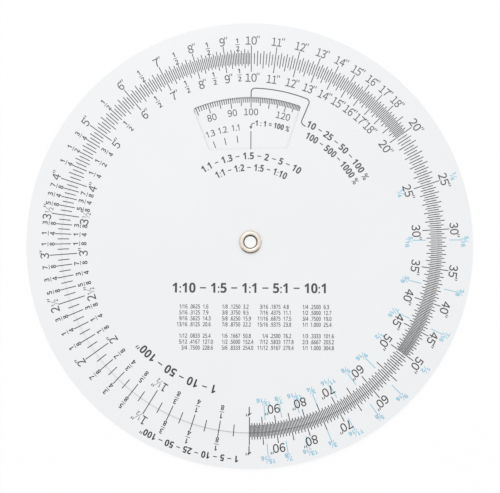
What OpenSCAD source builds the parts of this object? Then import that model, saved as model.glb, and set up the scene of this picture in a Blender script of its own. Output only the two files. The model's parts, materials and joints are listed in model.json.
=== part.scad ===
// Circular proportion calculator: two white plastic discs riveted by one eyelet.
// Both discs carry the same two-decade logarithmic inch scale, one on each side
// of the dial's edge. Turning the dial by an angle multiplies by one ratio, which
// the rings printed on the base show through the window in the dial.
//
// The pivot axis is Z. z = 0 is the lowest point of the eyelet's rolled end, and
// +Y is where 10 inches and 100 percent stand. Angles run clockwise seen from +Z.

/* [Base disc] */
// Diameter of the base disc
base_d = 158.75; // [150:0.25:240]
// Thickness of the base disc
base_t = 0.76; // [0.5:0.02:2]

/* [Dial disc] */
// Diameter of the dial disc, whose edge is the reading line of the inch scales
dial_d = 133.35; // [124:0.05:138]
// Thickness of the dial disc
dial_t = 0.5; // [0.3:0.02:1.2]

/* [Window] */
// Distance from the dial's edge in to the window's outer arc
window_inset = 14.55; // [13:0.05:17]
// Height of the window along its middle line
window_h = 18.9; // [17:0.1:22]
// Width of the window along its straight lower edge
window_w = 28.1; // [20:0.1:36]
// Lean of each side of the window away from its middle line
window_lean = 19.5; // [12:0.5:24]
// Angle from the 10 inch mark back to the window's middle line
window_turn = 1.65; // [0:0.05:6]
// Radius of the window's corners
window_corner = 0.9; // [0.3:0.1:2]

/* [Eyelet] */
// Diameter of the hole through the eyelet
eyelet_bore_d = 4.2; // [3:0.1:6]
// Thickness of the eyelet's metal
eyelet_wall = 0.28; // [0.2:0.02:0.5]
// Radius of the flange rolled over the dial
flange_roll_r = 0.95; // [0.6:0.05:1.5]
// Radius of the end rolled over under the base
clinch_roll_r = 0.6; // [0.6:0.05:1.2]

/* [Fits] */
// Radial play of the dial on the eyelet's barrel
pivot_play = 0.06; // [0.02:0.01:0.1]
// Radial play of the base on the eyelet's barrel
base_play = 0.02; // [0.01:0.01:0.1]
// Gap between the print on the base and the dial that turns over it
running_gap = 0.03; // [0.02:0.01:0.2]

/* [Print] */
// Thickness of the printed ink
ink_t = 0.02; // [0.01:0.01:0.05]
// Width of a graduation
line_w = 0.3; // [0.15:0.01:0.36]
// Width of the pale fraction lines
fraction_line_w = 0.28; // [0.15:0.01:0.5]
// Width of the index line round the window
index_line_w = 0.36; // [0.2:0.02:0.6]
// How far the graduations of the base reach in under the dial
tuck = 0.6; // [0.2:0.1:1.5]

/* [Inch graduations] */
// Reach of a whole inch mark inward from the dial's edge
whole_in = 5.3; // [3:0.1:6]
// Reach of a whole inch mark outward from the dial's edge
whole_out = 4.5; // [3:0.1:6]
// Reach of a tall fraction mark inward from the dial's edge
tall_in = 4.0; // [2.5:0.1:5]
// Reach of a tall fraction mark outward from the dial's edge
tall_out = 3.2; // [2:0.1:5]
// Reach of a middle mark inward from the dial's edge
middle_in = 3.2; // [2:0.1:4.5]
// Reach of a middle mark outward from the dial's edge
middle_out = 2.6; // [1.5:0.1:4]
// Reach of the finest marks inward from the dial's edge
fine_in = 2.5; // [1:0.1:4]
// Reach of the finest marks outward from the dial's edge
fine_out = 1.7; // [1:0.1:3]

/* [Percent ring] */
// Reach of a one percent mark in from the window's outer arc
percent_fine = 1.85; // [1:0.05:3]
// Reach of a five percent mark in from the window's outer arc
percent_five = 3.0; // [2:0.1:4.5]
// Reach of a ten percent mark in from the window's outer arc
percent_ten = 3.7; // [2.5:0.1:5.5]

/* [Reduction ring] */
// Distance from the window's lower edge out to the marks of the reduction ring
times_inset = 2.7; // [1:0.1:5]
// Length of a mark of the reduction ring
times_len = 2.6; // [1:0.1:4]
// Distance from the window's lower edge to the top of the same-size line
same_size_len = 6.7; // [3:0.1:9]

/* [Fraction lines] */
// Distance from the dial's edge to the near end of a pale line, inside and outside
fraction_gap = 4.2; // [2:0.1:6]
// Length of a pale line
fraction_len = 4.8; // [2:0.1:6.5]

/* [Index line] */
// Distance from the window's outer arc to the index line above it
index_rise = 3.25; // [2.5:0.05:6]
// Angle from the 10 inch mark to the falling part of the index line
index_turn = 22.6; // [15:0.1:40]
// Length of the falling part of the index line
index_fall = 6.5; // [4:0.1:12]
// Radius of the bends of the index line
index_bend = 1.4; // [0.5:0.1:2.4]
// Turn of the bend at the foot of the index line
index_foot_turn = 80; // [10:1:90]
// Length of the straight end after that bend
index_end = 1.0; // [0.2:0.1:3]

/* [Hidden] */
$fn = 96;

base_r = base_d / 2;
dial_r = dial_d / 2;
bore_r = eyelet_bore_d / 2;
barrel_r = bore_r + eyelet_wall;

base_z = clinch_roll_r;
base_top = base_z + base_t;
dial_z = base_top + ink_t + running_gap;
dial_top = dial_z + dial_t;
flange_z = dial_top + running_gap;

window_r = dial_r - window_inset;
window_low = window_r - window_h;

// One turn of the scale is two decades, from 1 to 100
turn_per_decade = 180;
eps = 0.01;

// Colours of the plastic, the metal and the two inks
plastic = [0.94, 0.945, 0.95];
nickel = [0.85, 0.82, 0.75];
black_ink = [0.33, 0.33, 0.34];
blue_ink = [0.55, 0.81, 0.91];

// Clockwise angle from +Y of a ratio to 10 inches, or to 100 percent
function log_angle(ratio) = turn_per_decade * log(ratio);

// True where value is a whole multiple of step
function is_step(value, step) = abs(value / step - round(value / step)) < 0.001;

// The spans of the inch scale: [first value, last value, finest, middle, tall, whole step]
inch_spans = [[1, 4, 1/16, 1/8, 1/2, 1/2], [4, 5, 1/16, 1/8, 1, 1], [5, 10, 1/16, 1/8, 1/4, 1],
              [10, 20, 1/8, 1/4, 1/2, 1], [20, 50, 1/4, 1/2, 1, 5], [50, 100, 1/2, 1, 5, 5]];

// How far a mark of the inch scale reaches [inward, outward]: from 5 to 10 inches the
// half inches are no taller than the eighths, which leaves room for a fraction over
// each, and from 10 to 20 inches they are tall on the dial only
function inch_reach(v, span) =
    is_step(v, span[5]) ? [whole_in, whole_out]
    : is_step(v, span[4]) && !(span[0] == 5 && is_step(v, 1/2))
        ? [tall_in, span[0] == 10 ? middle_out : tall_out]
    : is_step(v, span[3]) ? [middle_in, middle_out]
    : [fine_in, fine_out];

// Sixteenths of an inch that stand on the scale at 25 to 100, on a pale line
pale_sixteenths = [5, 6, 7, 9, 10, 11, 12, 13, 14, 15];

// The spans of the percent ring: [first value, last value, finest, middle, tall step]
percent_spans = [[10, 20, 1/4, 1, 5], [20, 50, 1/2, 1, 5], [50, 150, 1, 5, 10],
                 [150, 300, 2, 10, 50], [300, 600, 5, 10, 50], [600, 1000, 10, 50, 100]];

// The spans of the reduction ring: [first value, last value, step]
times_spans = [[1.1, 1.5, 0.1], [1.75, 3, 0.25], [3.5, 5, 0.5], [6, 10, 1]];

// One radial mark, r_in to r_out, clockwise by angle from +Y
module mark(r_in, r_out, angle, w) {
    rotate(-angle) translate([-w / 2, r_in]) square([w, r_out - r_in]);
}

// A layer of ink on the face at height z
module ink(z, tint) {
    color(tint) translate([0, 0, z]) linear_extrude(ink_t) children();
}

// The marks of the inch scale between the dial's edge and their inner or outer reach
module inch_marks(outside) {
    for (span = inch_spans)
        for (i = [0 : round((span[1] - span[0]) / span[2]) - 1]) {
            v = span[0] + i * span[2];
            reach = inch_reach(v, span);
            if (outside) mark(dial_r - tuck, dial_r + reach[1], log_angle(v / 10), line_w);
            else mark(dial_r - reach[0], dial_r - eps, log_angle(v / 10), line_w);
        }
}

// The pale lines that lead from the scale to the fractions under one inch
module fraction_marks(outside) {
    near = outside ? dial_r + fraction_gap : dial_r - fraction_gap - fraction_len;
    for (n = pale_sixteenths)
        mark(near, near + fraction_len, log_angle(n / 1.6), fraction_line_w);
}

// Section of the eyelet's metal rolled outward through half a turn: it leaves the
// barrel at z = 0, and its end comes back down to z = 0
module rolled_lip(roll) {
    translate([bore_r + roll, 0]) difference() {
        circle(roll);
        circle(roll - eyelet_wall);
        translate([-2 * roll, -2 * roll]) square([4 * roll, 2 * roll]);
    }
}

// Points of an arc, clockwise by angle from +Y
function arc_points(centre, r, from, to, steps) =
    [for (i = [0 : steps]) let (a = from + (to - from) * i / steps) centre + r * [sin(a), cos(a)]];

// Outline of the window with its middle line on +Y: straight low edge, leaning
// sides and an arc on top, with a rounding in each corner
module window_outline() {
    s = sin(window_lean);
    c = cos(window_lean);
    k = window_corner;
    foot = [window_w / 2, window_low];
    low = [foot.x + (k * s - k) / c, window_low + k];
    inset = foot + k * [-c, s];
    along = inset * [s, c];
    rise = -along + sqrt(along * along - inset * inset + (window_r - k) * (window_r - k));
    high = inset + rise * [s, c];
    turn = atan2(high.x, high.y);
    right = concat(arc_points([0, 0], window_r, 0, turn, 16),
                   arc_points(high, k, turn, 90 + window_lean, 8),
                   arc_points(low, k, 90 + window_lean, 180, 8));
    polygon(concat(right, [for (i = [len(right) - 1 : -1 : 1]) [-right[i].x, right[i].y]]));
}

// White plastic, with the pivot hole
module base_disc() {
    color(plastic) translate([0, 0, base_z]) difference() {
        cylinder(h = base_t, r = base_r);
        translate([0, 0, -1]) cylinder(h = base_t + 2, r = barrel_r + base_play);
    }
}

// White plastic, with the pivot hole and the window
module dial_disc() {
    color(plastic) translate([0, 0, dial_z]) difference() {
        cylinder(h = dial_t, r = dial_r);
        translate([0, 0, -1]) cylinder(h = dial_t + 2, r = barrel_r + pivot_play);
        translate([0, 0, -1]) linear_extrude(dial_t + 2) rotate(window_turn) window_outline();
    }
}

// Drawn metal tube with a rolled flange on the dial and a rolled end under the base
module eyelet() {
    color(nickel) rotate_extrude() {
        translate([bore_r, base_z]) square([eyelet_wall, flange_z - base_z]);
        translate([0, flange_z]) rolled_lip(flange_roll_r);
        translate([0, base_z]) mirror([0, 1]) rolled_lip(clinch_roll_r);
    }
}

// Inch scale printed on the base, outside the dial's edge
module base_inch_scale() {
    ink(base_top, black_ink) inch_marks(true);
}

// Inch scale printed on the dial, inside its edge
module dial_inch_scale() {
    ink(dial_top, black_ink) inch_marks(false);
}

// Pale lines to the fractions printed on the base
module base_fraction_lines() {
    ink(base_top, blue_ink) fraction_marks(true);
}

// Pale lines to the fractions printed on the dial
module dial_fraction_lines() {
    ink(dial_top, blue_ink) fraction_marks(false);
}

// Percent of the original size, printed on the base and read in the window
module percent_ring() {
    ink(base_top, black_ink)
        for (span = percent_spans)
            for (i = [0 : round((span[1] - span[0]) / span[2]) - 1]) {
                v = span[0] + i * span[2];
                reach = is_step(v, span[4]) ? percent_ten : is_step(v, span[3]) ? percent_five : percent_fine;
                mark(window_r - reach, window_r + tuck, log_angle(v / 100), line_w);
            }
}

// Times of reduction, printed on the base and read in the window, with the line
// that stands at the same size
module reduction_ring() {
    near = window_low + times_inset;
    ink(base_top, black_ink) {
        for (span = times_spans)
            for (v = [span[0] : span[2] : span[1] + eps])
                mark(near, near + times_len, -log_angle(v), line_w);
        mark(window_low - tuck, window_low + same_size_len, 0, line_w);
    }
}

// Line printed on the dial from the window's index, over the window and down beside it
module index_line() {
    r = window_r + index_rise;
    w = index_line_w;
    bend = index_bend;
    half = asin(bend / (r - bend));
    module arc_band(r_in, r_out, from, to) {
        intersection() {
            difference() {
                circle(r_out);
                circle(r_in);
            }
            polygon([[0, 0], 2 * r_out * [sin(from), cos(from)], 2 * r_out * [sin(to), cos(to)]]);
        }
    }
    module bend_at(centre, from, to) {
        translate(centre) arc_band(bend - w / 2, bend + w / 2, from, to);
    }
    ink(dial_top, black_ink) {
        mark(window_r + eps, (r - bend) * cos(half) + eps, 0, w);
        bend_at([bend, (r - bend) * cos(half)], -90, half);
        arc_band(r - w / 2, r + w / 2, half - eps, index_turn - half + eps);
        rotate(-index_turn) {
            bend_at([-bend, (r - bend) * cos(half)], -half, 90);
            foot = (r - bend) * cos(half) - index_fall;
            translate([-w / 2, foot - eps]) square([w, index_fall + 2 * eps]);
            bend_at([bend, foot], -90 - index_foot_turn, -90);
            translate([bend, foot]) rotate(index_foot_turn - 90)
                translate([-eps, -bend - w / 2]) square([index_end + eps, w]);
        }
    }
}

base_disc();
dial_disc();
eyelet();
base_inch_scale();
dial_inch_scale();
base_fraction_lines();
dial_fraction_lines();
percent_ring();
reduction_ring();
index_line();
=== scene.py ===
import json
import math

import bmesh
import bpy
from mathutils import Matrix, Vector


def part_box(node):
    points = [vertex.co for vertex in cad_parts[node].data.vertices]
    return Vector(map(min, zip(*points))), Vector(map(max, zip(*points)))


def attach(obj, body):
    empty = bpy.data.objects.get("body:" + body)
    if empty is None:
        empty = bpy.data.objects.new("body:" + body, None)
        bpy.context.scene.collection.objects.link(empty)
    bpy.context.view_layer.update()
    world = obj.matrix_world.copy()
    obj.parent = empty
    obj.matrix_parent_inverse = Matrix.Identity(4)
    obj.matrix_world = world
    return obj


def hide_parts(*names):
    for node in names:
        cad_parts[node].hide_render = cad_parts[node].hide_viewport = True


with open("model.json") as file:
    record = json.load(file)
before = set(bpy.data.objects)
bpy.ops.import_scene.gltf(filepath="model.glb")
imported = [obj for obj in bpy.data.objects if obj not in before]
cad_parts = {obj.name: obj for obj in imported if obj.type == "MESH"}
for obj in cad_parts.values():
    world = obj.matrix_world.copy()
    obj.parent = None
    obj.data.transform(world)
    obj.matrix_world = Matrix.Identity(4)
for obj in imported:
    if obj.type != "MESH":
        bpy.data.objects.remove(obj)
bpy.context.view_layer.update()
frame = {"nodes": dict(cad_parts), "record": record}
mm = 0.001

# VIEW. The wheel lies flat and the lens looks almost straight down on its printed
# face, from a quarter of a metre up, a little below the wheel's middle.
image_w = 500
focal_px = 700
sensor_mm = 36
lens_height = 248.84 * mm
lens_right = -0.126 * mm
lens_up = -1.589 * mm
lean_back = math.radians(-3.277)
lean_side = math.radians(0.539)
roll = math.radians(-0.332)
base_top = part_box("base_disc")[1].z

wheel_to_lens = (Matrix.Rotation(lean_side, 3, "Y") @ Matrix.Rotation(lean_back, 3, "X")
                 @ Matrix.Rotation(roll, 3, "Z"))
camera = bpy.data.objects.new("camera", bpy.data.cameras.new("camera"))
camera.data.sensor_width = sensor_mm
camera.data.lens = sensor_mm * focal_px / image_w
camera.data.clip_start = 0.01
camera.matrix_world = (Matrix.Translation((0, 0, base_top)) @ wheel_to_lens.transposed().to_4x4()
                       @ Matrix.Translation((lens_right, lens_up, lens_height)))
bpy.context.scene.collection.objects.link(camera)
bpy.context.scene.camera = camera
bpy.context.scene.view_settings.view_transform = "Standard"


# LIGHT AND FLOOR. A white sweep under one broad lamp from the top of the picture,
# and an even white room that fills the shadows.
def add(tree, kind, inputs=None, **settings):
    """A node with its settings made, and each input either linked or given its value."""
    made = tree.nodes.new(kind)
    for name, value in settings.items():
        setattr(made, name, value)
    for name, value in (inputs or {}).items():
        if isinstance(value, bpy.types.NodeSocket):
            tree.links.new(value, made.inputs[name])
        else:
            made.inputs[name].default_value = value
    return made


def maths(tree, operation, one, other=0.0):
    return add(tree, "ShaderNodeMath", {0: one, 1: other}, operation=operation).outputs[0]


def seen_directly(tree):
    """1 where the lens, a mirror or glass looks straight at the surface, else 0."""
    path = add(tree, "ShaderNodeLightPath").outputs
    lens_or_mirror = maths(tree, "MAXIMUM", path["Is Camera Ray"], path["Is Glossy Ray"])
    return maths(tree, "MAXIMUM", lens_or_mirror, path["Is Transmission Ray"])


def bare_material(name):
    """A material with nothing in its node tree yet, and that tree."""
    made = bpy.data.materials.new(name)
    made.use_nodes = True
    made.node_tree.nodes.clear()
    return made, made.node_tree


room_level = 0.72
world = bpy.data.worlds.new("white_room")
bpy.context.scene.world = world
world.use_nodes = True
room_tree = world.node_tree
room_tree.nodes.clear()
fill = add(room_tree, "ShaderNodeBackground", {"Color": (1, 1, 1, 1), "Strength": room_level})
backdrop = add(room_tree, "ShaderNodeBackground", {"Color": (1, 1, 1, 1), "Strength": 1})
room = add(room_tree, "ShaderNodeMixShader",
           {0: seen_directly(room_tree), 1: fill.outputs[0], 2: backdrop.outputs[0]})
add(room_tree, "ShaderNodeOutputWorld", {"Surface": room.outputs[0]})

lamp_size = 1.2
lamp_place = Vector((-0.5, 2.0, 2.6))
lamp_watts = 39.3
lamp = bpy.data.objects.new("softbox", bpy.data.lights.new("softbox", "AREA"))
lamp.data.shape = "DISK"
lamp.data.size = lamp_size
lamp.data.energy = lamp_watts
lamp.location = lamp_place
lamp.rotation_euler = lamp_place.to_track_quat("Z", "Y").to_euler()
bpy.context.scene.collection.objects.link(lamp)

floor_half = 3.0
floor_white = 0.97
floor_glow = 0.88
floor_mesh = bpy.data.meshes.new("floor")
floor_mesh.from_pydata([(-floor_half, -floor_half, 0), (floor_half, -floor_half, 0),
                        (floor_half, floor_half, 0), (-floor_half, floor_half, 0)], [], [(0, 1, 2, 3)])
floor = bpy.data.objects.new("floor", floor_mesh)
bpy.context.scene.collection.objects.link(floor)
sweep, sweep_tree = bare_material("white_sweep")
lit = add(sweep_tree, "ShaderNodeBsdfDiffuse", {"Color": (floor_white, floor_white, floor_white, 1)})
glow = add(sweep_tree, "ShaderNodeEmission", {"Color": (1, 1, 1, 1), "Strength": 1})
share = maths(sweep_tree, "MULTIPLY", seen_directly(sweep_tree), floor_glow)
surface = add(sweep_tree, "ShaderNodeMixShader", {0: share, 1: lit.outputs[0], 2: glow.outputs[0]})
add(sweep_tree, "ShaderNodeOutputMaterial", {"Surface": surface.outputs[0]})
floor_mesh.materials.append(sweep)


# BASE DISC. Rigid white sheet plastic about 0.8 mm thick, die-cut round, with the
# cut edges slightly broken and a hole for the eyelet's barrel.
def object_point(tree):
    return add(tree, "ShaderNodeTexCoord").outputs["Object"]


def noise(tree, point, scale, detail=4.0, roughness=0.5):
    """Cloudy values about 0.5, with one cloud in 1/scale metres."""
    return add(tree, "ShaderNodeTexNoise", {"Vector": point, "Scale": scale, "Detail": detail,
                                            "Roughness": roughness}).outputs[0]


def spread(tree, value, low, high):
    """The middle of a noise's values spread over low to high."""
    return add(tree, "ShaderNodeMapRange", {"Value": value, "From Min": 0.3, "From Max": 0.7,
                                            "To Min": low, "To Max": high}).outputs[0]


def about_pivot(tree, point):
    """How far a point lies to the right of the pivot, above it, and away from it."""
    split = add(tree, "ShaderNodeSeparateXYZ", {0: point}).outputs
    flat = add(tree, "ShaderNodeCombineXYZ", {0: split[0], 1: split[1]}).outputs[0]
    return split[0], split[1], add(tree, "ShaderNodeVectorMath", {0: flat}, operation="LENGTH").outputs["Value"]


def ring_point(tree, point, along, across):
    """A point unrolled about the pivot: along round the ring, across outward."""
    right, above, away = about_pivot(tree, point)
    run = maths(tree, "MULTIPLY", maths(tree, "ARCTAN2", right, above), along)
    return add(tree, "ShaderNodeCombineXYZ", {0: run, 1: maths(tree, "MULTIPLY", away, across)}).outputs[0]


def two_tones(tree, factor, one, other, **settings):
    """Two tones mixed by a factor. Each is a colour, or a tone that nodes have made."""
    tones = [tone if isinstance(tone, bpy.types.NodeSocket) else (*tone, 1) for tone in (one, other)]
    return add(tree, "ShaderNodeMix", {"Factor": factor, 6: tones[0], 7: tones[1]}, data_type="RGBA",
               **settings).outputs[2]


def bumped(tree, height, depth, strength=1.0):
    return add(tree, "ShaderNodeBump", {"Height": height, "Distance": depth, "Strength": strength}).outputs[0]


def faded(tree, value, full_at, none_at):
    """1 at one value, 0 at the other, and a straight fade between them."""
    return add(tree, "ShaderNodeMapRange", {"Value": value, "From Min": full_at, "From Max": none_at,
                                            "To Min": 1.0, "To Max": 0.0}).outputs[0]


def dusted(tree, tone, reach, shade_grey):
    """A tone with painted shade: greyed a little where ambient occlusion finds the corner against another part."""
    openness = add(tree, "ShaderNodeAmbientOcclusion", {"Distance": reach}, samples=12).outputs["AO"]
    fully_shaded = two_tones(tree, 1.0, tone, shade_grey, blend_type="MULTIPLY")
    return two_tones(tree, faded(tree, openness, 0.4, 1.0), tone, fully_shaded)


# Painted shade from ambient occlusion: how far it looks, and the grey that it multiplies the tone by.
painted_shade_reach = 1.3 * mm
painted_shade_grey = (0.85, 0.84, 0.82)


def white_sheet(name, light_tone, dark_tone):
    """Calendered white plastic: satin, with a fine grain, hairline rubs round the pivot and painted shade in corners
    against other parts.
    """
    made, tree = bare_material(name)
    point = object_point(tree)
    cloud = noise(tree, point, 32)
    grain = noise(tree, point, 2600, detail=2)
    hairlines = noise(tree, ring_point(tree, point, 2.2, 5200), 1, detail=2)
    # The cloudy tone gets painted shade where another part stands close by.
    tone = dusted(tree, two_tones(tree, spread(tree, cloud, 0, 1), dark_tone, light_tone), painted_shade_reach, painted_shade_grey)
    handled = noise(tree, point, 140)
    gloss = maths(tree, "ADD", spread(tree, handled, 0.40, 0.52), spread(tree, hairlines, -0.035, 0.035))
    relief = maths(tree, "ADD", grain, spread(tree, hairlines, 0, 0.35))
    skin = add(tree, "ShaderNodeBsdfPrincipled",
               {"Base Color": tone, "Roughness": gloss, "Normal": bumped(tree, relief, 0.004 * mm, 0.6)})
    skin.inputs["IOR"].default_value = 1.5
    skin.inputs["Specular IOR Level"].default_value = 0.35
    add(tree, "ShaderNodeOutputMaterial", {"Surface": skin.outputs[0]})
    return made


def round_outline(radius, count):
    turns = [2 * math.pi * i / count for i in range(count)]
    return [Vector((radius * math.sin(turn), radius * math.cos(turn))) for turn in turns]


def cut_sheet(name, outlines, low, high, broken_edge):
    """A flat sheet between two heights, cut to outlines, with every cut edge rounded over."""
    curve = bpy.data.curves.new(name, "CURVE")
    curve.dimensions = "2D"
    curve.fill_mode = "BOTH"
    curve.extrude = (high - low) / 2 - broken_edge
    curve.bevel_depth = broken_edge
    curve.bevel_resolution = 3
    curve.offset = -broken_edge
    for outline in outlines:
        spline = curve.splines.new("POLY")
        spline.points.add(len(outline) - 1)
        spline.use_cyclic_u = True
        for spot, place in zip(spline.points, outline):
            spot.co = (place.x, place.y, 0, 1)
    drawn = bpy.data.objects.new(name, curve)
    bpy.context.scene.collection.objects.link(drawn)
    mesh = bpy.data.meshes.new_from_object(drawn.evaluated_get(bpy.context.evaluated_depsgraph_get()))
    bpy.data.objects.remove(drawn)
    mesh.transform(Matrix.Translation((0, 0, (low + high) / 2)))
    return finished(name, mesh)


def finished(name, mesh):
    """A mesh welded, with its faces turned outward, as a piece in the scene. Level faces stay flat."""
    shape = bmesh.new()
    shape.from_mesh(mesh)
    bmesh.ops.remove_doubles(shape, verts=shape.verts, dist=0.001 * mm)
    bmesh.ops.recalc_face_normals(shape, faces=shape.faces)
    for face in shape.faces:
        face.smooth = abs(face.normal.z) < 0.9999
    shape.to_mesh(mesh)
    shape.free()
    mesh.name = name
    piece = bpy.data.objects.new(name, mesh)
    bpy.context.scene.collection.objects.link(piece)
    return piece


def paint(piece, material):
    piece.data.materials.clear()
    piece.data.materials.append(material)


rim_steps = 720
hole_steps = 96
broken_edge = 0.07 * mm
sheet_bright = (0.878, 0.885, 0.899)
sheet_dim = (0.865, 0.872, 0.887)
base_low, base_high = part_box("base_disc")
base_hole_r = 2.40 * mm
base_sheet = cut_sheet("base_sheet",
                       [round_outline(base_high.x, rim_steps), round_outline(base_hole_r, hole_steps)],
                       base_low.z, base_high.z, broken_edge)
paint(base_sheet, white_sheet("base_white_plastic", sheet_bright, sheet_dim))
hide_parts("base_disc")
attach(base_sheet, "base")


# DIAL DISC. Thinner sheet of the same plastic, die-cut with a window shaped like a
# keystone. Its round edge is the line along which the two inch scales are read.
window_outer_r = 52.125 * mm
window_h = 18.9 * mm
window_half_w = 14.05 * mm
window_lean = math.radians(19.5)
window_turn = math.radians(1.65)
window_corner = 0.9 * mm
corner_steps = 8
arc_steps = 24


def on_arc(centre, radius, start, end, steps):
    """Points of an arc, by clockwise angle from the top of the wheel."""
    turns = [start + (end - start) * i / steps for i in range(steps + 1)]
    return [centre + radius * Vector((math.sin(turn), math.cos(turn))) for turn in turns]


def window_outline():
    """Half the keystone and its mirror image, turned to its place on the dial."""
    lean = Vector((math.sin(window_lean), math.cos(window_lean)))
    k = window_corner
    foot = Vector((window_half_w, window_outer_r - window_h))
    low = Vector((foot.x + (k * lean.x - k) / lean.y, foot.y + k))
    inset = foot + k * Vector((-lean.y, lean.x))
    along = inset.dot(lean)
    reach = -along + math.sqrt(along ** 2 - inset.length_squared + (window_outer_r - k) ** 2)
    high = inset + reach * lean
    turn = math.atan2(high.x, high.y)
    right = (on_arc(Vector((0, 0)), window_outer_r, 0, turn, arc_steps)
             + on_arc(high, k, turn, math.pi / 2 + window_lean, corner_steps)[1:]
             + on_arc(low, k, math.pi / 2 + window_lean, math.pi, corner_steps))
    left = [Vector((-spot.x, spot.y)) for spot in reversed(right[1:])]
    return [Matrix.Rotation(window_turn, 2) @ spot for spot in right + left]


dial_low, dial_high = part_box("dial_disc")
dial_r = dial_high.x
dial_hole_r = 2.44 * mm
dial_edge = 0.05 * mm
dial_sheet = cut_sheet("dial_sheet",
                       [round_outline(dial_r, rim_steps), round_outline(dial_hole_r, hole_steps),
                        window_outline()],
                       dial_low.z, dial_high.z, dial_edge)
paint(dial_sheet, white_sheet("dial_white_plastic", sheet_bright, sheet_dim))
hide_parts("dial_disc")
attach(dial_sheet, "dial")


# EYELET. Nickel-plated brass tube, drawn thin and set through both discs: a full roll
# over the dial, a smaller one under the base, and the background seen through it.
def lathe(name, section, steps):
    """A closed section of (radius, height) points turned round the pivot."""
    shape = bmesh.new()
    rings = []
    for i in range(steps):
        turn = 2 * math.pi * i / steps
        rings.append([shape.verts.new((radius * math.cos(turn), radius * math.sin(turn), height))
                      for radius, height in section])
    for ring, after in zip(rings, rings[1:] + rings[:1]):
        for k in range(len(section)):
            following = (k + 1) % len(section)
            shape.faces.new((ring[k], after[k], after[following], ring[following]))
    mesh = bpy.data.meshes.new(name)
    shape.to_mesh(mesh)
    shape.free()
    return finished(name, mesh)


def half_turn(middle_r, face, roll_r, start, end, steps):
    """Section points round a roll whose middle stands on a face; angles from outward to up."""
    turns = [start + (end - start) * i / steps for i in range(steps + 1)]
    return [(middle_r + roll_r * math.cos(turn), face + roll_r * math.sin(turn)) for turn in turns]


eyelet_steps = 160
roll_steps = 20
eyelet_low, eyelet_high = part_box("eyelet")
bore_r = frame["record"]["mounts"][0]["dims"]["r_mm"] * mm
eyelet_wall = 0.28 * mm
flange_roll = (eyelet_high.x - bore_r) / 2
flange_face = eyelet_high.z - flange_roll
clinch_face = base_low.z
clinch_roll = clinch_face - eyelet_low.z
flange_middle = bore_r + flange_roll
clinch_middle = bore_r + clinch_roll
eyelet_section = (half_turn(flange_middle, flange_face, flange_roll, math.pi, 0, roll_steps)
                  + half_turn(flange_middle, flange_face, flange_roll - eyelet_wall, 0, math.pi, roll_steps)
                  + half_turn(clinch_middle, clinch_face, clinch_roll - eyelet_wall, -math.pi, 0, roll_steps)
                  + half_turn(clinch_middle, clinch_face, clinch_roll, 0, -math.pi, roll_steps))


# Painted shade on the plate: the inside of the bore is darkened, more towards the top, and a painted shadow lies
# along the flange's foot on the lower (-Y) side.
throat_shade_full_r, throat_shade_end_r = 2.40 * mm, 2.64 * mm
throat_shade_bottom_share = 0.72
foot_shadow_full_r, foot_shadow_end_r = 3.86 * mm, 3.52 * mm
foot_shadow_full_y, foot_shadow_end_y = -3.4 * mm, -1.4 * mm


def plated_metal(name, bright, dull, painted_shade_tone):
    """Soft nickel plate with warm tarnish, and painted shade: dark in its throat, most at the top, and a painted
    shadow at its foot below.
    """
    made, tree = bare_material(name)
    point = object_point(tree)
    tarnish = noise(tree, point, 700)
    turned = noise(tree, ring_point(tree, point, 3, 9000), 1, detail=3)
    pits = noise(tree, point, 4200, detail=3)
    _, above, away = about_pivot(tree, point)
    throat_shade_to_top = add(tree, "ShaderNodeMapRange", {
        "Value": above, "From Min": -2.5 * mm, "From Max": 2.5 * mm, "To Min": throat_shade_bottom_share,
        "To Max": 1.0}).outputs[0]
    throat = maths(tree, "MULTIPLY", faded(tree, away, throat_shade_full_r, throat_shade_end_r), throat_shade_to_top)
    foot = maths(tree, "MULTIPLY", faded(tree, away, foot_shadow_full_r, foot_shadow_end_r),
                 faded(tree, above, foot_shadow_full_y, foot_shadow_end_y))
    unshaded_plate = two_tones(tree, spread(tree, tarnish, 0, 1), bright, dull)
    # Painted shade and shadow: the plate's tone goes to a dark brown in the throat and at the foot.
    tone = two_tones(tree, maths(tree, "MAXIMUM", throat, foot), unshaded_plate, painted_shade_tone)
    gloss = maths(tree, "ADD", spread(tree, tarnish, 0.46, 0.58), spread(tree, turned, -0.04, 0.04))
    relief = maths(tree, "ADD", turned, spread(tree, pits, 0, 0.5))
    skin = add(tree, "ShaderNodeBsdfPrincipled",
               {"Base Color": tone, "Roughness": gloss, "Normal": bumped(tree, relief, 0.006 * mm, 0.5)})
    skin.inputs["Metallic"].default_value = 1.0
    add(tree, "ShaderNodeOutputMaterial", {"Surface": skin.outputs[0]})
    return made


rivet = lathe("eyelet_rivet", eyelet_section, eyelet_steps)
# The last tone is the dark brown of the painted shade in the throat and the painted shadow at the foot.
paint(rivet, plated_metal("nickel_plate", bright=(0.760, 0.705, 0.625), dull=(0.670, 0.605, 0.520),
                          painted_shade_tone=(0.085, 0.070, 0.052)))
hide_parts("eyelet")
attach(rivet, "base")


# PRINTED LINES. The graduations, rings and index line are screen-printed on the two
# discs in dark grey ink, and the lines to the fractions in a second, pale blue pass.
# Painted sheen on the ink: how far from the pivot it spreads each way, and how much lighter the ink gets at the top.
sheen_half_span = 75 * mm
painted_sheen_share = 0.80


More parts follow.
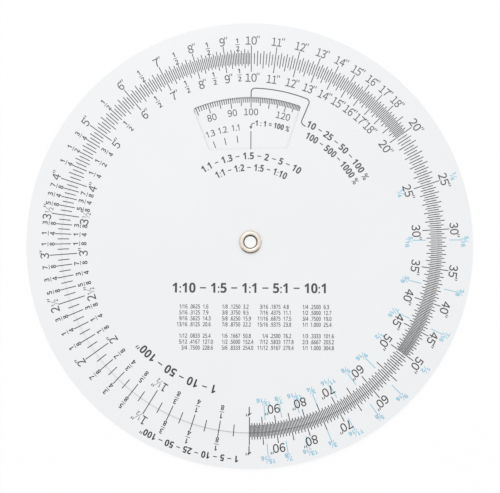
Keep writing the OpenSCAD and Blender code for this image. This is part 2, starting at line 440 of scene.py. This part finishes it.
def ink(name, full, thin_and_lit_tone):
    """Screen ink, thinner in random patches, with a painted sheen that makes it lighter towards the top of the
    sheet.
    """
    made, tree = bare_material(name)
    point = object_point(tree)
    grain = noise(tree, point, 9000, detail=2)
    patches = spread(tree, noise(tree, point, 900), 0, 0.25)
    painted_sheen_to_top = add(tree, "ShaderNodeMapRange", {
        "Value": about_pivot(tree, point)[1], "From Min": -sheen_half_span, "From Max": sheen_half_span, "To Min": 0.0,
        "To Max": painted_sheen_share}).outputs[0]
    # Random thin patches of ink, plus the painted sheen towards the top.
    thin_patches_and_sheen = maths(tree, "ADD", patches, painted_sheen_to_top)
    skin = add(tree, "ShaderNodeBsdfPrincipled",
               {"Base Color": two_tones(tree, thin_patches_and_sheen, full, thin_and_lit_tone), "Roughness": spread(tree, grain, 0.48, 0.62),
                "Normal": bumped(tree, grain, 0.003 * mm, 0.6)})
    skin.inputs["IOR"].default_value = 1.5
    skin.inputs["Specular IOR Level"].default_value = 0.3
    add(tree, "ShaderNodeOutputMaterial", {"Surface": skin.outputs[0]})
    return made


# Each ink: its full tone, and the lighter tone of thin patches and painted sheen.
dark_ink = ink("dark_grey_ink", (0.016, 0.016, 0.018), (0.150, 0.150, 0.155))
pale_ink = ink("pale_blue_ink", (0.260, 0.555, 0.700), (0.330, 0.640, 0.780))
for node in ("base_inch_scale", "dial_inch_scale", "percent_ring", "reduction_ring", "index_line"):
    paint(frame["nodes"][node], dark_ink)
for node in ("base_fraction_lines", "dial_fraction_lines"):
    paint(frame["nodes"][node], pale_ink)


# INCH NUMBERS. A number stands at each labelled inch on both discs, feet to the pivot,
# in light numerals with a raised inch mark. They are screened with the graduations.
ink_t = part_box("base_inch_scale")[1].z - base_high.z
flag_and_foot = 0xFF10
plain_light = 0x1D7E2
plain_bold = 0x1D7EC


def new_tree(name, inputs):
    """A geometry tree with named inputs, each with its default, and one mesh out."""
    kinds = {float: "NodeSocketFloat", int: "NodeSocketInt", str: "NodeSocketString", bool: "NodeSocketBool"}
    tree = bpy.data.node_groups.new(name, "GeometryNodeTree")
    tree.interface.new_socket("Geometry", in_out="INPUT", socket_type="NodeSocketGeometry")
    for socket, default in inputs.items():
        tree.interface.new_socket(socket, in_out="INPUT", socket_type=kinds[type(default)]).default_value = default
    tree.interface.new_socket("Ink", in_out="INPUT", socket_type="NodeSocketMaterial")
    tree.interface.new_socket("Geometry", in_out="OUTPUT", socket_type="NodeSocketGeometry")
    return tree, add(tree, "NodeGroupInput").outputs


def whole(tree, operation, one, other=0):
    return add(tree, "FunctionNodeIntegerMath", {0: one, 1: other}, operation=operation).outputs[0]


def joined(tree, *meshes):
    made = add(tree, "GeometryNodeJoinGeometry")
    for mesh in meshes:
        tree.links.new(mesh, made.inputs[0])
    return made.outputs[0]


def written(tree, value, first_glyph, decimals=0):
    """A number as a text, in the style of numeral that starts at a glyph."""
    text = add(tree, "FunctionNodeValueToString", {"Value": value, "Decimals": decimals}).outputs[0]
    for digit in range(10):
        text = add(tree, "FunctionNodeReplaceString",
                   {"String": text, "Find": str(digit), "Replace": chr(first_glyph + digit)}).outputs[0]
    return text


def way_round(tree, letter):
    """1 where a letter's outlines run anticlockwise, -1 where they run clockwise."""
    here = add(tree, "GeometryNodeInputPosition").outputs[0]
    following = add(tree, "GeometryNodeOffsetPointInCurve", {"Offset": 1}).outputs["Point Index"]
    there = add(tree, "GeometryNodeFieldAtIndex", {"Index": following, "Value": here},
                data_type="FLOAT_VECTOR").outputs[0]
    swept = add(tree, "ShaderNodeVectorMath", {0: here, 1: there}, operation="CROSS_PRODUCT").outputs[0]
    area = add(tree, "GeometryNodeAccumulateField",
               {"Value": add(tree, "ShaderNodeSeparateXYZ", {0: swept}).outputs[2], "Group ID": letter})
    return maths(tree, "SIGN", area.outputs["Total"])


weld_gap = 0.0001 * mm


def inked(tree, outline, weight, thickness):
    """Letter outlines made heavier by a weight, filled, and given the thickness of the ink."""
    counted = add(tree, "GeometryNodeCaptureAttribute", {"Geometry": outline}, domain="INSTANCE")
    counted.capture_items.new("INT", "Letter")
    tree.links.new(add(tree, "GeometryNodeInputIndex").outputs[0], counted.inputs["Letter"])
    curves = add(tree, "GeometryNodeRealizeInstances", {"Geometry": counted.outputs["Geometry"]}).outputs[0]
    coarse = add(tree, "GeometryNodeSetSplineResolution", {"Geometry": curves, "Resolution": 3}).outputs[0]
    drawn = add(tree, "GeometryNodeResampleCurve", {"Curve": coarse}, mode="EVALUATED").outputs[0]
    outward = add(tree, "ShaderNodeVectorMath", {0: add(tree, "GeometryNodeInputTangent").outputs[0], 1: (0, 0, 1)},
                  operation="CROSS_PRODUCT").outputs[0]
    reach = maths(tree, "MULTIPLY", weight, way_round(tree, counted.outputs["Letter"]))
    growth = add(tree, "ShaderNodeVectorMath", {0: outward, "Scale": reach}, operation="SCALE").outputs[0]
    heavy = add(tree, "GeometryNodeSetPosition", {"Geometry": drawn, "Offset": growth}).outputs[0]
    face = add(tree, "GeometryNodeFillCurve", {"Curve": heavy}, mode="TRIANGLES").outputs[0]
    raised = add(tree, "GeometryNodeExtrudeMesh", {"Mesh": face, "Offset Scale": thickness, "Individual": False},
                 mode="FACES").outputs["Mesh"]
    under = add(tree, "GeometryNodeFlipFaces", {"Mesh": face}).outputs[0]
    return add(tree, "GeometryNodeMergeByDistance",
               {"Geometry": joined(tree, raised, under), "Distance": weld_gap}).outputs[0]


em_per_height = 1.36


def outlined(tree, text, height, width, spacing, align="CENTER"):
    """The outlines of a text that stands on its baseline, narrowed by its width."""
    size = maths(tree, "MULTIPLY", height, em_per_height)
    outline = add(tree, "GeometryNodeStringToCurves", {"String": text, "Size": size, "Character Spacing": spacing},
                  align_x=align, align_y="BOTTOM_BASELINE").outputs[0]
    narrow = add(tree, "ShaderNodeCombineXYZ", {0: width, 1: 1.0, 2: 1.0}).outputs[0]
    return add(tree, "GeometryNodeTransform", {"Geometry": outline, "Scale": narrow}).outputs[0]


def lettered(tree, text, height, width, spacing, weight, thickness, align="CENTER"):
    return inked(tree, outlined(tree, text, height, width, spacing, align), weight, thickness)


def shifted(tree, mesh, across=0.0, out=0.0):
    place = add(tree, "ShaderNodeCombineXYZ", {0: across, 1: out}).outputs[0]
    return add(tree, "GeometryNodeTransform", {"Geometry": mesh, "Translation": place}).outputs[0]


# An inch mark's size, weight, raise and gap, each as a share of its number's height.
mark_size = 0.80
mark_weight = 0.006
mark_raise = 0.31
mark_gap = 0.17


def inch_mark(tree, height, thickness, across, out):
    """A small raised inch mark at a place beside a number."""
    mark = lettered(tree, "″", maths(tree, "MULTIPLY", height, mark_size), 1.0, 1.0,
                    maths(tree, "MULTIPLY", height, mark_weight), thickness)
    return shifted(tree, mark, across, maths(tree, "ADD", out, maths(tree, "MULTIPLY", height, mark_raise)))


def scale_angle(tree, value, at_top, sense):
    """Turn about the pivot of a value on a scale of two decades a turn."""
    decades = maths(tree, "LOGARITHM", maths(tree, "DIVIDE", value, at_top), 10.0)
    return maths(tree, "MULTIPLY", maths(tree, "MULTIPLY", decades, sense), -math.pi)


def turned_to(tree, mesh, angle, height):
    turn = add(tree, "ShaderNodeCombineXYZ", {2: angle}).outputs[0]
    lift = add(tree, "ShaderNodeCombineXYZ", {2: height}).outputs[0]
    return add(tree, "GeometryNodeTransform", {"Geometry": mesh, "Translation": lift, "Rotation": turn}).outputs[0]


def each_label(tree, geometry, attributes):
    """A zone that runs once for each vertex, and its vertex's attributes inside."""
    opening = add(tree, "GeometryNodeForeachGeometryElementInput", {"Geometry": geometry})
    closing = add(tree, "GeometryNodeForeachGeometryElementOutput")
    opening.pair_with_output(closing)
    closing.domain = "POINT"
    for name, kind in attributes.items():
        closing.input_items.new(kind, name)
        read = add(tree, "GeometryNodeInputNamedAttribute", {"Name": name.lower()}, data_type=kind)
        tree.links.new(read.outputs[0], opening.inputs[name])
    return opening.outputs, closing


def close_tree(tree, labels, material):
    """Ends a tree with real meshes that wear the ink's material."""
    real = add(tree, "GeometryNodeRealizeInstances", {"Geometry": labels}).outputs[0]
    printed_labels = add(tree, "GeometryNodeSetMaterial", {"Geometry": real, "Material": material}).outputs[0]
    add(tree, "NodeGroupOutput", {0: printed_labels})


def placed_by_value(tree, given, label, closing, standing, at_top=10.0, sense=1.0):
    """Turns a label that stands at the top to its own value's place, and ends the tree."""
    angle = scale_angle(tree, label["Value"], at_top, sense)
    tree.links.new(turned_to(tree, standing, angle, given["Face"]), closing.inputs["Geometry"])
    close_tree(tree, closing.outputs[2], given["Ink"])
    return tree


def number_ring_tree(name, first_glyph):
    """Numbers on a ring about the pivot, each at its own value's place on the scale."""
    tree, given = new_tree(name, {
        "Value at top": 10.0, "Sense": 1.0, "Across": 0.0, "Baseline radius": 0.07, "Height": 0.003, "Width": 1.0,
        "Spacing": 1.0, "Weight": 0.0, "Inch mark": False, "Thickness": 0.00002, "Face": 0.0})
    label, closing = each_label(tree, given["Geometry"], {"Value": "FLOAT", "Decimals": "INT"})
    text = written(tree, label["Value"], first_glyph, label["Decimals"])
    number = lettered(tree, text, given["Height"], given["Width"], given["Spacing"], given["Weight"],
                      given["Thickness"])
    right_end = add(tree, "ShaderNodeSeparateXYZ",
                    {0: add(tree, "GeometryNodeBoundBox", {0: number}).outputs["Max"]}).outputs[0]
    beside = maths(tree, "ADD", right_end, maths(tree, "MULTIPLY", given["Height"], mark_gap))
    mark = inch_mark(tree, given["Height"], given["Thickness"], beside, 0.0)
    chosen = add(tree, "GeometryNodeSwitch", {"Switch": given["Inch mark"], "True": mark}).outputs[0]
    standing = shifted(tree, joined(tree, number, chosen), given["Across"], given["Baseline radius"])
    return placed_by_value(tree, given, label, closing, standing, given["Value at top"], given["Sense"])


def label_points(name, labels):
    """A mesh with one vertex for each label, and a column of values for each attribute."""
    mesh = bpy.data.meshes.new(name)
    mesh.vertices.add(len(next(iter(labels.values()))))
    for attribute, values in labels.items():
        kind = "FLOAT" if isinstance(values[0], float) else "INT"
        mesh.attributes.new(attribute, kind, "POINT").data.foreach_set("value", values)
    return mesh


def printed(name, tree, labels, material, body, slot, **sizes):
    """Runs a tree once over its labels and keeps the result as a plain piece on a body."""
    piece = bpy.data.objects.new(name, label_points(name, labels))
    bpy.context.scene.collection.objects.link(piece)
    press = piece.modifiers.new("press", "NODES")
    press.node_group = tree
    values = {key.replace("_", " ").capitalize(): value for key, value in sizes.items()}
    values |= {"Ink": material, "Thickness": ink_t, "Face": (base_high if body == "base" else dial_high).z}
    for socket in tree.interface.items_tree:
        if socket.in_out == "INPUT" and socket.name in values:
            press[socket.identifier] = values[socket.name]
    made = bpy.data.meshes.new_from_object(piece.evaluated_get(bpy.context.evaluated_depsgraph_get()))
    piece.modifiers.remove(press)
    piece.data = made
    made.name = name
    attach(piece, body)


def number_columns(numbers):
    """The label columns of a list of numbers: the value, and how many decimals it is written with."""
    return {"value": [float(number) for number in numbers],
            "decimals": [len(f"{number:g}".partition(".")[2]) for number in numbers]}


flagged_ring = number_ring_tree("flagged_number_ring", flag_and_foot)
plain_ring = number_ring_tree("plain_number_ring", plain_light)
inch_h = 2.95 * mm
# For each group: its name, tree and inches, then width, spacing, weight and shift across in mm.
number_groups = [("first_inch", plain_ring, [1], 0.9, 1.0, 0.02, 0.0),
                 ("low_inches", flagged_ring, range(2, 11), 0.87, 0.26, 0.035, -0.1),
                 ("narrow_inches", flagged_ring, range(11, 19), 0.78, 0.22, 0.03, -0.3),
                 ("high_inches", flagged_ring, [*range(20, 51, 5), *range(60, 91, 10)], 0.90, 0.26, 0.05, 0.0)]
# The radius in mm of each group's baseline.
number_r = {"base": {"first_inch": 71.4, "low_inches": 71.5, "narrow_inches": 71.55, "high_inches": 71.4},
            "dial": {"first_inch": 57.85, "low_inches": 57.7, "narrow_inches": 57.6, "high_inches": 57.65}}
for body, baselines in number_r.items():
    for name, ring, inches, width, spacing, weight, across in number_groups:
        printed(f"{body}_{name}", ring, number_columns(inches), dark_ink, body, "black_print", across=across * mm,
                baseline_radius=baselines[name] * mm, height=inch_h, width=width, spacing=spacing,
                weight=weight * mm, inch_mark=True)


# FRACTIONS OF AN INCH. Between the inches the dark ink has small bold fractions with a
# thin bar, and from one to four inches the half inches are written out in full.
def bar(tree, length, breadth, thickness, turn=0.0):
    """A straight stroke of ink about its own middle."""
    size = add(tree, "ShaderNodeCombineXYZ", {0: breadth, 1: length, 2: thickness}).outputs[0]
    stroke = add(tree, "GeometryNodeMeshCube", {"Size": size}).outputs[0]
    lift = add(tree, "ShaderNodeCombineXYZ", {2: maths(tree, "MULTIPLY", thickness, 0.5)}).outputs[0]
    return add(tree, "GeometryNodeTransform", {"Geometry": stroke, "Translation": lift,
                                               "Rotation": (0, 0, -turn)}).outputs[0]


def lowest_terms(tree, sixteenths, first_glyph):
    """The two numbers of a count of sixteenths in its lowest terms, as texts."""
    shared = whole(tree, "GCD", sixteenths, 16)
    over = whole(tree, "DIVIDE", sixteenths, shared)
    under = whole(tree, "DIVIDE", 16, shared)
    return written(tree, over, first_glyph), written(tree, under, first_glyph)


# A slanted fraction's sizes, each as a share of its digits' height, and its stroke's lean.
digit_aside = 0.12
upper_raise = 0.9
slash_length = 2.0
slash_middle = 0.95
slash_lean = math.radians(32)


def slanted_fraction(tree, over, under, height, width, weight, stroke, thickness):
    """A fraction across a leaning stroke: the upper number raised, the lower at its foot."""
    style = (height, width, 1.0, weight, thickness)
    upper = shifted(tree, lettered(tree, over, *style, "RIGHT"), maths(tree, "MULTIPLY", height, -digit_aside),
                    maths(tree, "MULTIPLY", height, upper_raise))
    lower = shifted(tree, lettered(tree, under, *style, "LEFT"), maths(tree, "MULTIPLY", height, digit_aside))
    slash = bar(tree, maths(tree, "MULTIPLY", height, slash_length), stroke, thickness, slash_lean)
    return joined(tree, upper, lower, shifted(tree, slash, 0.0, maths(tree, "MULTIPLY", height, slash_middle)))


def stacked_ring_tree():
    """Fractions stacked over a bar, each at its own value's place on the scale."""
    tree, given = new_tree("stacked_fraction_ring", {
        "Bar radius": 0.07, "Height": 0.0017, "Width": 1.0, "Weight": 0.0, "Bar gap": 0.0005, "Bar length": 0.002,
        "Bar breadth": 0.0002, "Thickness": 0.00002, "Face": 0.0})
    label, closing = each_label(tree, given["Geometry"], {"Value": "FLOAT", "Sixteenths": "INT"})
    over, under = lowest_terms(tree, label["Sixteenths"], plain_bold)
    style = (given["Height"], given["Width"], 1.0, given["Weight"], given["Thickness"])
    above = maths(tree, "ADD", given["Bar radius"], given["Bar gap"])
    below = maths(tree, "SUBTRACT", maths(tree, "SUBTRACT", given["Bar radius"], given["Bar gap"]), given["Height"])
    line = bar(tree, given["Bar length"], given["Bar breadth"], given["Thickness"], math.pi / 2)
    standing = joined(tree, shifted(tree, lettered(tree, over, *style), 0.0, above),
                      shifted(tree, line, 0.0, given["Bar radius"]),
                      shifted(tree, lettered(tree, under, *style), 0.0, below))
    return placed_by_value(tree, given, label, closing, standing)


# The fraction beside a whole number: its size, drop and weight as shares of the number's.
part_size = 0.5
part_drop = 0.12
part_weight = 0.4
part_width = 0.85


def mixed_ring_tree():
    """Whole numbers, each with a slanted fraction and an inch mark beside it."""
    tree, given = new_tree("mixed_number_ring", {
        "Baseline radius": 0.07, "Height": 0.003, "Width": 1.0, "Weight": 0.0, "Number across": -0.0016,
        "Fraction across": 0.0008, "Mark across": 0.0024, "Stroke": 0.00015, "Thickness": 0.00002, "Face": 0.0})
    label, closing = each_label(tree, given["Geometry"], {"Value": "FLOAT", "Whole": "INT", "Sixteenths": "INT"})
    number = lettered(tree, written(tree, label["Whole"], flag_and_foot), given["Height"], given["Width"], 1.0,
                      given["Weight"], given["Thickness"])
    over, under = lowest_terms(tree, label["Sixteenths"], plain_light)
    small = maths(tree, "MULTIPLY", given["Height"], part_size)
    below = maths(tree, "MULTIPLY", given["Height"], -part_drop)
    part = slanted_fraction(tree, over, under, small, part_width,
                            maths(tree, "MULTIPLY", given["Weight"], part_weight), given["Stroke"],
                            given["Thickness"])
    out = given["Baseline radius"]
    standing = joined(tree, shifted(tree, number, given["Number across"], out),
                      shifted(tree, part, given["Fraction across"], maths(tree, "ADD", out, below)),
                      inch_mark(tree, given["Height"], given["Thickness"], given["Mark across"], out))
    return placed_by_value(tree, given, label, closing, standing)


def sixteenths_at(values):
    """The label columns of a list of values in inches: the value, and its part over the inch."""
    return {"value": values, "whole": [int(value) for value in values],
            "sixteenths": [round((value % 1) * 16) for value in values]}


eighths_labelled = [inch + n / 8 for inch in (1, 2, 3) for n in (1, 2, 3, 5, 6, 7)]
quarters_labelled = [4.25, 4.5, 4.75, 5.5, 6.5, 7.5, 8.5, 9.5]
halves_labelled = [1.5, 2.5, 3.5]
stacked_ring = stacked_ring_tree()
mixed_ring = mixed_ring_tree()
stacked_style = {"height": 1.82 * mm, "width": 0.93, "weight": 0.005 * mm, "bar_gap": 0.55 * mm,
                 "bar_length": 1.65 * mm, "bar_breadth": 0.2 * mm}
mixed_style = {"height": inch_h, "width": 0.87, "weight": 0.045 * mm, "number_across": -1.4 * mm,
               "fraction_across": 0.95 * mm, "mark_across": 2.4 * mm, "stroke": 0.13 * mm}
mixed_r = {"base": 71.35 * mm, "dial": 57.85 * mm}
low_bar_r = {"base": 71.75 * mm, "dial": 60.4 * mm}
high_bar_r = {"base": 71.6 * mm, "dial": 60.3 * mm}
for body in ("base", "dial"):
    printed(body + "_eighths", stacked_ring, sixteenths_at(eighths_labelled), dark_ink, body, "black_print",
            bar_radius=low_bar_r[body], **stacked_style)
    printed(body + "_quarters", stacked_ring, sixteenths_at(quarters_labelled), dark_ink, body, "black_print",
            bar_radius=high_bar_r[body], **stacked_style)
    printed(body + "_halves", mixed_ring, sixteenths_at(halves_labelled), dark_ink, body, "black_print",
            baseline_radius=mixed_r[body], **mixed_style)


# PALE FRACTIONS. Values under one inch stand a decade further on, so a second pass in
# pale blue writes the sixteenths from one quarter up beside their blue lines.
def slanted_ring_tree():
    """Slanted fractions on a ring, each at its own value's place on the scale."""
    tree, given = new_tree("slanted_fraction_ring", {
        "Baseline radius": 0.075, "Height": 0.0012, "Width": 1.0, "Weight": 0.0, "Stroke": 0.00015,
        "Thickness": 0.00002, "Face": 0.0})
    label, closing = each_label(tree, given["Geometry"], {"Value": "FLOAT", "Sixteenths": "INT"})
    over, under = lowest_terms(tree, label["Sixteenths"], plain_light)
    part = slanted_fraction(tree, over, under, given["Height"], given["Width"], given["Weight"], given["Stroke"],
                            given["Thickness"])
    standing = shifted(tree, part, 0.0, given["Baseline radius"])
    return placed_by_value(tree, given, label, closing, standing)


slanted_ring = slanted_ring_tree()
under_an_inch = list(range(4, 16))
pale_columns = {"value": [n / 16 * 100 for n in under_an_inch], "sixteenths": under_an_inch}
pale_r = {"base": 75.2 * mm, "dial": 55.1 * mm}
for body, baseline in pale_r.items():
    printed(body + "_pale_fractions", slanted_ring, pale_columns, pale_ink, body, "blue_print",
            baseline_radius=baseline, height=1.38 * mm, width=1.1, weight=0.09 * mm, stroke=0.2 * mm)


# RING NUMBERS. Percent and times of reduction are numbered all round the base disc, and
# the few that stand under the window are read. The dial covers the rest.
percent_labelled = [*range(10, 51, 5), 60, 70, 80, 90, 100, 120, 150, 200, 250, 300, 350, 400, *range(500, 901, 100)]
times_labelled = [1.1, 1.2, 1.3, 1.4, 1.5, 1.75, 2, 2.5, 3, 3.5, 4, 4.5, 5, 6, 7, 8, 9, 10]
printed("percent_numbers", flagged_ring, number_columns(percent_labelled), dark_ink, "base", "black_print",
        value_at_top=100.0, baseline_radius=45.65 * mm, height=2.4 * mm, width=0.86, spacing=0.28, weight=0.03 * mm)
printed("times_numbers", plain_ring, number_columns(times_labelled), dark_ink, "base", "black_print",
        value_at_top=1.0, sense=-1.0, baseline_radius=40.3 * mm, height=2.25 * mm, width=0.84, spacing=0.98,
        weight=0.035 * mm)


# SAME-SIZE ARROW. A small arrow printed on the base over the line at which both scales
# agree, with its ratio beside it. Its tail is a short bend to the right.
half_glyph_share = 0.4


def arc_text_tree():
    """A text whose letters stand side by side on an arc about the pivot, each upright there."""
    tree, given = new_tree("arc_text", {
        "Text": "", "Turn": 0.0, "Baseline radius": 0.03, "Height": 0.002, "Width": 1.0, "Spacing": 1.0,
        "Weight": 0.0, "Thickness": 0.00002, "Face": 0.0})
    text = outlined(tree, given["Text"], given["Height"], given["Width"], given["Spacing"])
    half_glyph = maths(tree, "MULTIPLY", maths(tree, "MULTIPLY", given["Height"], given["Width"]), half_glyph_share)
    across = add(tree, "ShaderNodeSeparateXYZ", {0: add(tree, "GeometryNodeInputPosition").outputs[0]}).outputs[0]
    turn = maths(tree, "DIVIDE", maths(tree, "ADD", across, half_glyph), given["Baseline radius"])
    minus_turn = maths(tree, "MULTIPLY", turn, -1.0)
    sine, cosine = maths(tree, "SINE", turn), maths(tree, "COSINE", turn)
    place = add(tree, "ShaderNodeCombineXYZ", {
        0: maths(tree, "SUBTRACT", maths(tree, "MULTIPLY", given["Baseline radius"], sine),
                 maths(tree, "MULTIPLY", half_glyph, cosine)),
        1: maths(tree, "ADD", maths(tree, "MULTIPLY", given["Baseline radius"], cosine),
                 maths(tree, "MULTIPLY", half_glyph, sine))}).outputs[0]
    leaning = add(tree, "GeometryNodeRotateInstances", {
        "Instances": text, "Rotation": add(tree, "ShaderNodeCombineXYZ", {2: minus_turn}).outputs[0]}).outputs[0]
    round_pivot = add(tree, "GeometryNodeSetPosition", {"Geometry": leaning, "Position": place}).outputs[0]
    letters = inked(tree, round_pivot, given["Weight"], given["Thickness"])
    close_tree(tree, turned_to(tree, letters, maths(tree, "MULTIPLY", given["Turn"], -1.0), given["Face"]),
               given["Ink"])
    return tree


def in_figures(text, first_glyph):
    return "".join(chr(first_glyph + int(sign)) if sign.isdigit() else sign for sign in text)


def flat_print(name, outlines, body, material):
    """Ink laid in one closed outline or more on a body's printed face."""
    face = (base_high if body == "base" else dial_high).z
    shape = bmesh.new()
    for outline in outlines:
        lower = [shape.verts.new((spot.x, spot.y, face)) for spot in outline]
        upper = [shape.verts.new((spot.x, spot.y, face + ink_t)) for spot in outline]
        shape.faces.new(lower)
        shape.faces.new(upper)
        for i in range(len(outline)):
            j = (i + 1) % len(outline)
            shape.faces.new((lower[i], lower[j], upper[j], upper[i]))
    mesh = bpy.data.meshes.new(name)
    shape.to_mesh(mesh)
    shape.free()
    piece = finished(name, mesh)
    paint(piece, material)
    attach(piece, body)


arc_text = arc_text_tree()
one_point = {"value": [0]}
tip = Vector((0.0, 40.55 * mm))
head_h = 1.15 * mm
head_half = 0.6 * mm
tail_bend = 1.05 * mm
tail_half_w = 0.15 * mm
tail_ends = (math.radians(-90), math.radians(15))
tail_steps = 8
notch_h = head_h - 0.1 * mm
bend_middle = tip + Vector((tail_bend, head_h))
arrow = [tip, tip + Vector((head_half, head_h)), tip + Vector((tail_half_w, notch_h)),
         *on_arc(bend_middle, tail_bend - tail_half_w, *tail_ends, tail_steps),
         *reversed(on_arc(bend_middle, tail_bend + tail_half_w, *tail_ends, tail_steps)),
         tip + Vector((-tail_half_w, notch_h)), tip + Vector((-head_half, head_h))]
flat_print("same_size_arrow", [arrow], "base", dark_ink)
printed("same_size_ratio", arc_text, one_point, dark_ink, "base", "black_print",
        text=in_figures("1 : 1 = 100 %", plain_bold), turn=math.radians(10.4), baseline_radius=41.9 * mm,
        height=2.0 * mm, width=0.79, spacing=1.0, weight=0.05 * mm)


# RANGES. Plain figures printed on both discs give the range of each scale: the times
# under the window, the percent to its right, and the inches at the foot of each scale.
# For each: its name, body and text, its turn in degrees, baseline and height in mm, and width.
ranges = [("times_range", "dial", "1.1 − 1.3 − 1.5 − 2 − 5 − 10", 0.4, 29.65, 2.5, 0.86),
          ("times_ratio_range", "dial", "1:1 − 1:2 − 1:5 − 1:10", 0.4, 25.45, 2.5, 0.77),
          ("percent_range_low", "dial", "10 − 25 − 50 − 100 %", 43.2, 46.05, 2.5, 0.88),
          ("percent_range_high", "dial", "100 − 500 − 1000 %", 43.9, 42.15, 2.5, 0.80),
          ("dial_inch_range", "dial", "1 − 10 − 50 − 100″", 210.0, 51.8, 3.0, 0.9),
          ("base_inch_range", "base", "1 − 5 − 10 − 25 − 50 − 100″", 196.4, 75.0, 2.3, 0.9)]
for name, body, text, turn, baseline, height, width in ranges:
    printed(name, arc_text, one_point, dark_ink, body, "black_print", text=in_figures(text, plain_bold),
            turn=math.radians(turn), baseline_radius=baseline * mm, height=height * mm, width=width, spacing=1.02,
            weight=0.03 * mm)


# TABLE. Below the pivot the dial carries a heading of ratios over two small tables: the
# sixteenths of an inch and the twelfths of a foot, as decimals and in millimetres.
# Where the fraction ends and the decimal and the millimetres start, in heights of a digit.
entry_stops = (-1.6, -1.1, 2.1)
decimal_places = 4


def table_tree():
    """Entries in lines and columns: a fraction, its decimal and its millimetres."""
    tree, given = new_tree("fraction_table", {
        "Parts": 16, "Millimetres": 25.4, "Columns": 4, "Top": 0.0, "Middle": 0.0, "Column pitch": 0.0145,
        "Line pitch": 0.002, "Height": 0.0013, "Width": 1.0, "Spacing": 1.0, "Weight": 0.0, "Thickness": 0.00002,
        "Face": 0.0})
    label, closing = each_label(tree, given["Geometry"], {"Part": "INT"})
    shared = whole(tree, "GCD", label["Part"], given["Parts"])
    sign = add(tree, "FunctionNodeInputString", string="/").outputs[0]
    fraction = add(tree, "GeometryNodeStringJoin")
    for text in (written(tree, whole(tree, "DIVIDE", given["Parts"], shared), plain_light), sign,
                 written(tree, whole(tree, "DIVIDE", label["Part"], shared), plain_light)):
        tree.links.new(text, fraction.inputs["Strings"])
    share = maths(tree, "DIVIDE", label["Part"], given["Parts"])
    full_decimal = written(tree, share, plain_light, decimal_places)
    decimal = add(tree, "FunctionNodeReplaceString",
                  {"String": full_decimal, "Find": chr(plain_light) + ".", "Replace": "."})
    rounded = in_figures("1.000", plain_light)
    decimal = add(tree, "FunctionNodeReplaceString",
                  {"String": decimal.outputs[0], "Find": rounded + chr(plain_light), "Replace": rounded})
    metric = written(tree, maths(tree, "MULTIPLY", share, given["Millimetres"]), plain_light, 1)
    style = (given["Height"], given["Width"], given["Spacing"], given["Weight"], given["Thickness"])
    texts = zip((fraction.outputs[0], decimal.outputs[0], metric), ("RIGHT", "LEFT", "LEFT"), entry_stops)
    entry = joined(tree, *(shifted(tree, lettered(tree, text, *style, align),
                                   maths(tree, "MULTIPLY", given["Height"], stop)) for text, align, stop in texts))
    index = whole(tree, "SUBTRACT", label["Part"], 1)
    line = whole(tree, "DIVIDE", index, given["Columns"])
    column = whole(tree, "MODULO", index, given["Columns"])
    last = maths(tree, "MULTIPLY", maths(tree, "SUBTRACT", given["Columns"], 1.0), 0.5)
    across = maths(tree, "ADD", given["Middle"],
                   maths(tree, "MULTIPLY", maths(tree, "SUBTRACT", column, last), given["Column pitch"]))
    down = maths(tree, "SUBTRACT", given["Top"], maths(tree, "MULTIPLY", line, given["Line pitch"]))
    tree.links.new(turned_to(tree, shifted(tree, entry, across, down), 0.0, given["Face"]),
                   closing.inputs["Geometry"])
    close_tree(tree, closing.outputs[2], given["Ink"])
    return tree


def heading_tree():
    """One straight line of text."""
    tree, given = new_tree("heading", {
        "Text": "", "Across": 0.0, "Baseline": 0.0, "Height": 0.003, "Width": 1.0, "Spacing": 1.0, "Weight": 0.0,
        "Thickness": 0.00002, "Face": 0.0})
    letters = lettered(tree, given["Text"], given["Height"], given["Width"], given["Spacing"], given["Weight"],
                       given["Thickness"])
    close_tree(tree, turned_to(tree, shifted(tree, letters, given["Across"], given["Baseline"]), 0.0, given["Face"]),
               given["Ink"])
    return tree


printed("heading", heading_tree(), one_point, dark_ink, "dial", "black_print",
        text=in_figures("1:10 − 1:5 − 1:1 − 5:1 − 10:1", plain_bold), across=-0.1 * mm, baseline=-18.0 * mm,
        height=3.5 * mm, width=0.925, spacing=1.0, weight=0.03 * mm)
table = table_tree()
table_style = {"columns": 4, "column_pitch": 14.2 * mm, "line_pitch": 2.08 * mm, "height": 1.45 * mm, "width": 0.72,
               "spacing": 1.05, "weight": 0.03 * mm, "middle": 1.6 * mm}
for name, parts, millimetres, top in (("inch_table", 16, 25.4, -23.6 * mm), ("foot_table", 12, 304.8, -33.85 * mm)):
    printed(name, table, {"part": list(range(1, parts + 1))}, dark_ink, "dial", "black_print",
            parts=parts, millimetres=millimetres, top=top, **table_style)
